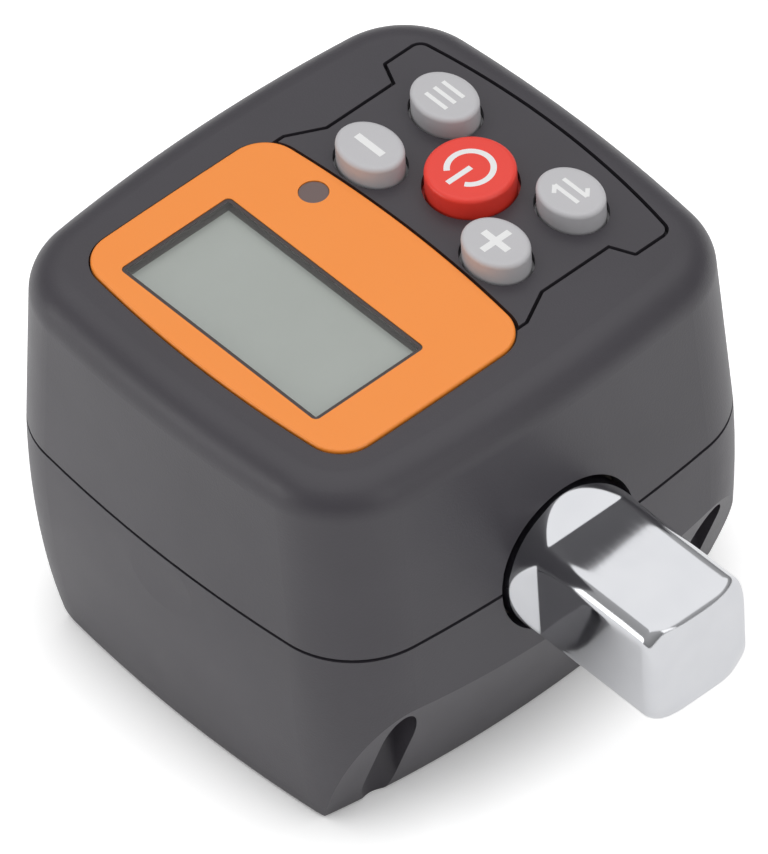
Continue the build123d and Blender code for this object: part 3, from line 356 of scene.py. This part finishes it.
ring_radius = 2.3
ring_steps = 40
ring_start, ring_sweep = 214, 292
power_width, bold_width, plus_width, fine_width = 0.62, 0.78, 0.76, 0.45
ring_turns = [radians(ring_start + i * ring_sweep / ring_steps) for i in range(ring_steps + 1)]
print_mark("power_mark", "power_button", [
    ([(ring_radius * sin(a), ring_radius * cos(a)) for a in ring_turns], power_width),
    ([(0, -3.0), (0, 0.1)], power_width),
])
print_mark("minus_mark", "minus_button", [([(-1.9, 0), (1.9, 0)], bold_width)])
print_mark("plus_mark", "plus_button", [
    ([(-1.8, 0), (1.8, 0)], plus_width), ([(0, -1.8), (0, 1.8)], plus_width),
])
print_mark("mode_mark", "mode_button", [([(-1.53, y), (1.53, y)], fine_width) for y in (-1.13, 0, 1.13)])
print_mark("unit_mark", "unit_button", [
    ([(-1.71, 0.59), (1.71, 0.59)], fine_width), ([(0.9, 1.4), (1.71, 0.59)], fine_width),
    ([(-1.71, -0.59), (1.71, -0.59)], fine_width), ([(-0.9, -1.4), (-1.71, -0.59)], fine_width),
])

# Key mat: one moulding of white silicone with a dome under each key.
# It lies loose on the board and is held by the panel above it.
dress(finish("white_silicone", "#dededc", "#e6e6e4", 0.6, 0.0004, 0.00001), "key_mat")

# Main board: glass fibre laminate under green solder mask, with copper tracks that
# show through as lighter lines. It hangs from the upper shell by four screws.
mask, tree, place = start("green_solder_mask")
tracks = add(tree, "ShaderNodeTexBrick", {"Vector": place, "Scale": 400.0, "Mortar Size": 0.06,
                                          "Color1": linear("#1c5431"), "Color2": linear("#205c36"),
                                          "Mortar": linear("#3c8a55"), "Brick Width": 1.1,
                                          "Row Height": 0.42}).outputs["Color"]
end(tree, skin(tree, place, tracks, 0.34, 0.0006, 0.000004))
dress(mask, "main_board")

# Chips and buzzer: black moulded epoxy and a black can, soldered under the board.
# The chips' tinned leads bend up to it in rows.
def settle(piece, modifier):
    """Keeps what a modifier makes as the piece's plain mesh."""
    solved = bpy.context.evaluated_depsgraph_get()
    piece.data = bpy.data.meshes.new_from_object(piece.evaluated_get(solved))
    piece.modifiers.remove(modifier)


lead_width, lead_gauge = 0.0003, 0.00015
lead_stand = 0.0005
dress(finish("black_moulded_epoxy", "#191919", "#222224", 0.55, 0.0002, 0.00001), "control_chip",
      "gauge_amplifier", "buzzer")
tinned = finish("tinned_copper", "#c4c5c4", "#d3d4d3", 0.3, 0.0002, 0.000004, 1.0)
leads = bpy.data.node_groups.new("chip_leads", "GeometryNodeTree")
for name, kind in (("Sides", "Int"), ("Leads", "Int"), ("Pitch", "Float"), ("Reach", "Float"),
                   ("Place", "Vector"), ("Metal", "Material")):
    leads.interface.new_socket(name=name, in_out="INPUT", socket_type="NodeSocket" + kind)
leads.interface.new_socket(name="Geometry", in_out="OUTPUT", socket_type="NodeSocketGeometry")
given = add(leads, "NodeGroupInput").outputs
row_length = math(leads, "MULTIPLY", math(leads, "SUBTRACT", given["Leads"], 1.0), given["Pitch"])
first = add(leads, "ShaderNodeCombineXYZ", {"X": math(leads, "MULTIPLY", row_length, -0.5),
                                            "Y": given["Reach"]})
step = add(leads, "ShaderNodeCombineXYZ", {"X": given["Pitch"]})
row = add(leads, "GeometryNodeMeshLine", {"Count": given["Leads"], "Start Location": first.outputs[0],
                                          "Offset": step.outputs[0]}, mode="OFFSET")
lead = add(leads, "GeometryNodeJoinGeometry")
# Foot on the board, riser beside the chip, shoulder into the chip
for size, shift in (((lead_width, 0.0008, lead_gauge), (0, 0, -lead_gauge / 2)),
                    ((lead_width, lead_gauge, 0.0007), (0, -0.0004, -0.0005)),
                    ((lead_width, 0.0003, lead_gauge), (0, -0.0005, -0.0008))):
    bar = add(leads, "GeometryNodeMeshCube", {"Size": size})
    set_bar = add(leads, "GeometryNodeTransform", {"Geometry": bar.outputs[0], "Translation": shift})
    leads.links.new(set_bar.outputs[0], lead.inputs[0])
side = add(leads, "GeometryNodeInstanceOnPoints", {"Points": row.outputs[0], "Instance": lead.outputs[0]})
turns = add(leads, "GeometryNodeMeshLine", {"Count": given["Sides"], "Offset": (0, 0, 0)}, mode="OFFSET")
share = math(leads, "DIVIDE", add(leads, "GeometryNodeInputIndex").outputs[0], given["Sides"])
twist = add(leads, "ShaderNodeCombineXYZ", {"Z": math(leads, "MULTIPLY", share, tau)})
ring = add(leads, "GeometryNodeInstanceOnPoints", {"Points": turns.outputs[0], "Instance": side.outputs[0],
                                                   "Rotation": twist.outputs[0]})
moved = add(leads, "GeometryNodeTransform", {"Geometry": ring.outputs[0], "Translation": given["Place"]})
solid = add(leads, "GeometryNodeRealizeInstances", {"Geometry": moved.outputs[0]})
painted = add(leads, "GeometryNodeSetMaterial", {"Geometry": solid.outputs[0], "Material": given["Metal"]})
add(leads, "NodeGroupOutput", {"Geometry": painted.outputs[0]})
for chip, sides, count, pitch in (("control_chip", 4, 8, 0.0008), ("gauge_amplifier", 2, 4, 0.00115)):
    low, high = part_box(chip)
    holder = build(chip + "_leads", bmesh.new())
    rule = holder.modifiers.new("leads", "NODES")
    rule.node_group = leads
    for name, value in (("Sides", sides), ("Leads", count), ("Pitch", pitch),
                        ("Reach", (high[1] - low[1]) / 2 + lead_stand),
                        ("Place", ((low[0] + high[0]) / 2, (low[1] + high[1]) / 2, high[2])),
                        ("Metal", tinned)):
        rule[leads.interface.items_tree[name].identifier] = value
    settle(holder, rule)
    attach(holder, "adapter")

# Screws: zinc plated steel with cross recesses. Four hang the board from the upper
# shell, and four long ones close the shells from the base.
dress(finish("zinc_plated_steel", "#a2a4a8", "#b3b4b4", 0.34, 0.0004, 0.000006, 1.0), "board_screws",
      "housing_screws")

# Drive shaft: alloy steel, turned and milled, then ground on its flats and plated with
# bright chrome. Faint grinding marks across the flats stretch what it mirrors.
chrome, tree, place = start("bright_chrome_plate")
drawn = add(tree, "ShaderNodeMapping", {"Vector": place, "Scale": (300.0, 2500.0, 2500.0)}).outputs[0]
scratch = add(tree, "ShaderNodeTexNoise", {"Vector": drawn, "Scale": 1.0, "Detail": 3.0}).outputs["Fac"]
wave = add(tree, "ShaderNodeTexNoise", {"Vector": place, "Scale": 240.0, "Detail": 1.0}).outputs["Fac"]
eased = add(tree, "ShaderNodeBevel", {"Radius": 0.0002})
uneven = add(tree, "ShaderNodeBump", {"Height": wave, "Strength": 0.08, "Distance": 0.00008,
                                      "Normal": eased.outputs[0]})
marked = add(tree, "ShaderNodeBump", {"Height": scratch, "Strength": 0.04, "Distance": 0.00002,
                                      "Normal": uneven.outputs[0]})
polish = add(tree, "ShaderNodeMapRange", {"Value": scratch, "To Min": 0.04, "To Max": 0.10})
end(tree, add(tree, "ShaderNodeBsdfPrincipled", {
    "Base Color": colours(tree, wave, "#c6c7cb", "#cfd0d3"), "Metallic": 1.0, "Roughness": polish.outputs[0],
    "Normal": marked.outputs[0]}))
dress(chrome, "drive_shaft")
# The male end is drawn again with the real one's softened edges and rounded tip. Each
# ring of points is the bar's circle, cut down to the four flats with eased corners.
tip_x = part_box("drive_shaft")[1][0]
bar_radius, flat_half, step_half = 0.0081, 0.00635, 0.00652
square_length, ramp_length, run_out = 0.01625, 0.00315, 0.0055
redrawn_length, round_length, ramp_margin = 0.0245, 0.003, 0.0004
tip_length, tip_drop, flat_drop = 0.0016, 0.0026, 0.0008
hole_radius, hole_depth = 0.00175, 0.004
overlap = 0.0005
ease = 60
columns = 288
fine_gap, fine_rings = 0.00015, 61
wide_gap, wide_rings = 0.0008, 8
tip_rings = 18
cut_x = tip_x - redrawn_length
step_x = tip_x - square_length
ramp_x = step_x - ramp_length
places = [cut_x, cut_x + round_length] + [ramp_x - ramp_margin + i * fine_gap for i in range(fine_rings)]
places += [places[-1] + i * wide_gap for i in range(1, wide_rings + 1)]
places += [tip_x - tip_length + tip_length * sin(i * tau / 4 / tip_rings) for i in range(tip_rings + 1)]
shape = bmesh.new()
rings = []
for x in places:
    ramp = bar_radius + (ramp_x - x) * (bar_radius - step_half) / (step_x - ramp_x)
    left = max(0.0, 1 - (x - step_x) / run_out)
    flat = ramp if x < step_x else flat_half + (step_half - flat_half) * left ** 2
    round_share = 1 - (1 - max(0.0, (x - tip_x + tip_length) / tip_length) ** 2) ** 0.5
    flat -= flat_drop * round_share
    circle = bar_radius - tip_drop * round_share
    ring = []
    for i in range(columns):
        a = i * tau / columns
        plane = flat / max(abs(cos(a)), abs(sin(a)))
        reach = (circle ** -ease + plane ** -ease) ** (-1 / ease)
        ring.append(shape.verts.new((x, reach * cos(a), reach * sin(a))))
    rings.append(ring)
for near, far in zip(rings, rings[1:]):
    for i in range(columns):
        j = (i + 1) % columns
        shape.faces.new((near[i], near[j], far[j], far[i])).smooth = True
shape.faces.new(rings[0])
shape.faces.new(rings[-1])
bmesh.ops.recalc_face_normals(shape, faces=shape.faces)
front = build("drive_end", shape)
# Blind hole for the detent ball, at the solid's place and size
ball_low, ball_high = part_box("detent_ball")
shape = bmesh.new()
bmesh.ops.create_cone(shape, cap_ends=True, segments=96, radius1=hole_radius, radius2=hole_radius,
                      depth=hole_depth,
                      matrix=Matrix.Translation(((ball_low[0] + ball_high[0]) / 2, 0, -flat_half)))
drill = build("drill", shape)
bore = front.modifiers.new("bore", "BOOLEAN")
bore.object = drill
bore.solver = "EXACT"
settle(front, bore)
bpy.data.objects.remove(drill)
# The solid's rear part, cut off behind the redrawn end
shape = bmesh.new()
shape.from_mesh(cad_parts["drive_shaft"].data)
bmesh.ops.bisect_plane(shape, geom=shape.verts[:] + shape.edges[:] + shape.faces[:], dist=1e-7,
                       plane_co=(cut_x + overlap, 0, 0), plane_no=(1, 0, 0), clear_outer=True)
shape.from_mesh(front.data)
bpy.data.objects.remove(front)
finished_shaft = build("finished_drive_shaft", shape, chrome)
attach(finished_shaft, "adapter")
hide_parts("drive_shaft")

# Front bush: sintered bronze, dark with the oil that its pores hold.
# It is pressed between the shells and the journal turns in it.
dress(finish("oil_filled_sintered_bronze", "#2e2720", "#3d342a", 0.55, 0.0003, 0.00003, 0.4), "front_bush")

# Detent: a polished bearing ball pushed out by a coil of drawn spring wire, held in its
# blind hole by the rolled rim of the flat.
dress(finish("polished_bearing_steel", "#c4c5c8", "#cecfd1", 0.12, 0.0008, 0.000003, 1.0), "detent_ball")
dress(finish("drawn_spring_wire", "#8f9092", "#a5a6a8", 0.3, 0.0002, 0.000006, 1.0), "detent_spring")

# Strain gauges: amber polyimide film with an etched foil grid, glued to two flats of
# the shaft's thin middle. The grid runs at 45 degrees, where a twist stretches it most.
foil, tree, place = start("polyimide_with_foil_grid")
slant = add(tree, "ShaderNodeMapping", {"Vector": place, "Rotation": (0.0, 0.0, radians(45))}).outputs[0]
lines = add(tree, "ShaderNodeTexWave", {"Vector": slant, "Scale": 700.0}).outputs["Fac"]
on_grid = math(tree, "GREATER_THAN", lines, 0.55)
end(tree, skin(tree, place, colours(tree, on_grid, "#c07f2c", "#a9a6a0"), 0.3, 0.0005, 0.000004))
dress(foil, "strain_gauges")

# Leads: stranded wire in silicone sleeves, soldered from the gauges and from the cell
# contacts to the board. The cells' two are red and black, and the gauges' four black.
sleeve, tree, place = start("silicone_wire_sleeve")
along = add(tree, "ShaderNodeSeparateXYZ", {0: place}).outputs[0]
black = math(tree, "GREATER_THAN", along, housing_middle.x)
end(tree, skin(tree, place, colours(tree, black, "#a81f22", "#1d1d1f"), 0.5, 0.0003, 0.00001))
dress(sleeve, "gauge_leads", "battery_leads")

# Cells: two AAA cells laid in the bay between the contacts. A printed jacket in plain
# dark grey with a lighter band is shrunk over each steel can and leaves its ends bare.
bare_end, band_start, band_end = 0.0018, 0.028, 0.004
for cell in ("left_cell", "right_cell"):
    low, high = [Vector(corner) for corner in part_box(cell)]
    jacket, tree, place = start(cell + "_jacket")
    rim = Vector((-past_faces, bare_end, -past_faces))
    wrapped = within(tree, place, low + rim, high - rim)
    band_low = low + Vector((-past_faces, band_start, -past_faces))
    band_high = high - Vector((-past_faces, band_end, -past_faces))
    banded = within(tree, place, band_low, band_high)
    print_tint = add(tree, "ShaderNodeTexNoise", {"Vector": place, "Scale": 200.0}).outputs["Fac"]
    grey = colours(tree, print_tint, "#2a2d33", "#30333a")
    cover = skin(tree, place, colours(tree, banded, grey, "#8e959e"), 0.32, 0.0008, 0.000004)
    can = skin(tree, place, colours(tree, print_tint, "#b9bab8", "#c8c9c7"), 0.28, 0.0004, 0.000006, 1.0)
    end(tree, add(tree, "ShaderNodeMixShader", {0: wrapped, 1: can.outputs[0], 2: cover.outputs[0]}))
    dress(jacket, cell)

# Cell contacts: nickel plated spring steel, stamped and coiled, pushed into slots of
# the bay. Their tabs stand through its roof for the leads.
dress(finish("nickel_plated_steel", "#b8b7b0", "#c6c5bf", 0.26, 0.0004, 0.000005, 1.0), "bridge_contact",
      "negative_contact", "positive_contact")
